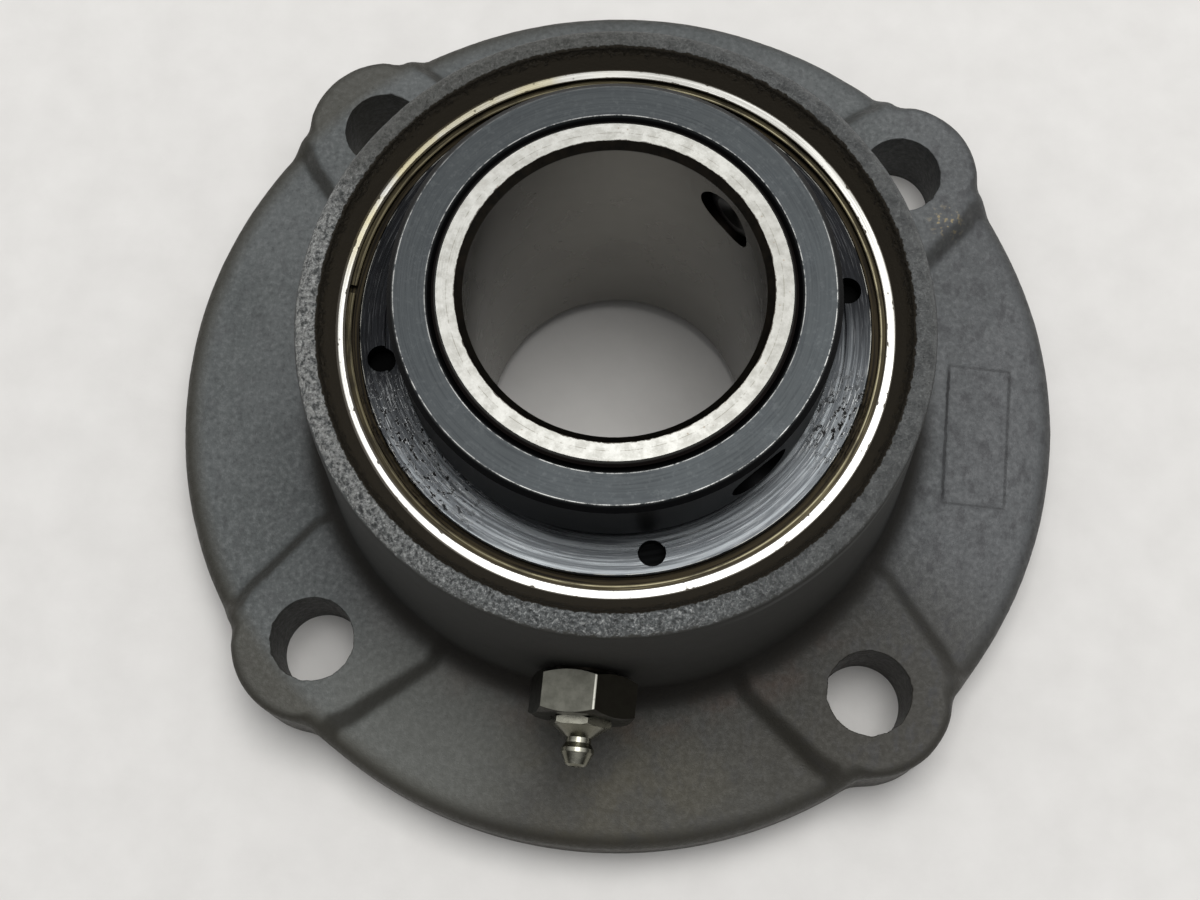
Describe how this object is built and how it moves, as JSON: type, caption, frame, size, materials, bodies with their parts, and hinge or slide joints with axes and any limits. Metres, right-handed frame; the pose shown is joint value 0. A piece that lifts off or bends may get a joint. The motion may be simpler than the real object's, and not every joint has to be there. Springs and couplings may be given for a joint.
{
  "type": "flange mount bearing",
  "caption": "Round flange bearing unit that carries a shaft on a machine wall: cast housing, swivelling barrel roller insert, set-screw locking collar and grease nipple.",
  "frame": {"origin": "centre of the flange's mounting face, where the shaft axis meets it", "axes": "+Z along the shaft axis towards the locking collar, the four lugs at 45 degrees to X and Y, the grease nipple towards -Y"},
  "size_m": [0.1904, 0.1904, 0.0877],
  "materials": {
    "cast_iron": "dark oxidised sand casting, matte, with a fine grain",
    "bearing_steel": "ground",
    "roller_steel": "polished",
    "cage_brass": "turned",
    "guide_steel": "satin",
    "black_oxide_plate": "black oxide with fine turning marks, oily",
    "black_oxide_collar": "black oxide, satin, bright worn edges",
    "seal_rubber": "moulded",
    "spring_steel": "oil-tempered brown",
    "screw_steel": "black oxide",
    "plated_steel": "dull zinc plate",
    "nickel_plate": "bright zinc plate"
  },
  "bodies": {
    "housing": {"housing": "cast_iron", "housing_snap_ring": "spring_steel", "outer_ring": "bearing_steel", "seal_plate_front": "black_oxide_plate", "seal_plate_rear": "black_oxide_plate", "retaining_ring_front": "spring_steel", "retaining_ring_rear": "spring_steel", "grease_adapter": "plated_steel", "grease_nipple": "nickel_plate", "nipple_spring": "spring_steel"},
    "swivel": {"seal_lip_front": "seal_rubber", "seal_lip_rear": "seal_rubber"},
    "guide": {"guide_ring": "guide_steel"},
    "rollers": {"cage_front": "cage_brass", "cage_rear": "cage_brass", "rollers_front": "roller_steel", "rollers_rear": "roller_steel"},
    "shaft_ring": {"inner_ring": "bearing_steel", "lock_collar": "black_oxide_collar"},
    "screw_a": {"set_screw_a": "screw_steel"},
    "screw_b": {"set_screw_b": "screw_steel"},
    "check_ball": {"nipple_ball": "nickel_plate"}
  },
  "joints": [
    {"name": "swivel_x", "type": "hinge", "parent": "housing", "child": "swivel", "pos_m": [0, 0, 0.0382], "axis": [1, 0, 0], "range_deg": [-1, 1], "deforming": ["seal_lip_front", "seal_lip_rear"]},
    {"name": "swivel_y", "type": "hinge", "parent": "swivel", "child": "guide", "pos_m": [0, 0, 0.0382], "axis": [0, 1, 0], "range_deg": [-1, 1]},
    {"name": "shaft_spin", "type": "hinge", "parent": "guide", "child": "shaft_ring", "pos_m": [0, 0, 0.0382], "axis": [0, 0, 1], "continuous": true},
    {"name": "roller_spin", "type": "hinge", "parent": "guide", "child": "rollers", "pos_m": [0, 0, 0.0382], "axis": [0, 0, 1], "continuous": true},
    {"name": "screw_a_travel", "type": "slide", "parent": "shaft_ring", "child": "screw_a", "axis": [0.6947, 0.7193, 0], "range_m": [-0.0011, 0.0048]},
    {"name": "screw_b_travel", "type": "slide", "parent": "shaft_ring", "child": "screw_b", "axis": [0.7071, -0.7071, 0], "range_m": [-0.0011, 0.0048]},
    {"name": "ball_press", "type": "slide", "parent": "housing", "child": "check_ball", "axis": [0, 1, 0], "range_m": [0, 0.0008], "stiffness_N_per_m": 300, "springref_m": -0.0005, "deforming": ["nipple_spring"]}
  ],
  "couplings": [
    {"joint": "roller_spin", "follows": "shaft_spin", "ratio": 0.4035}
  ]
}
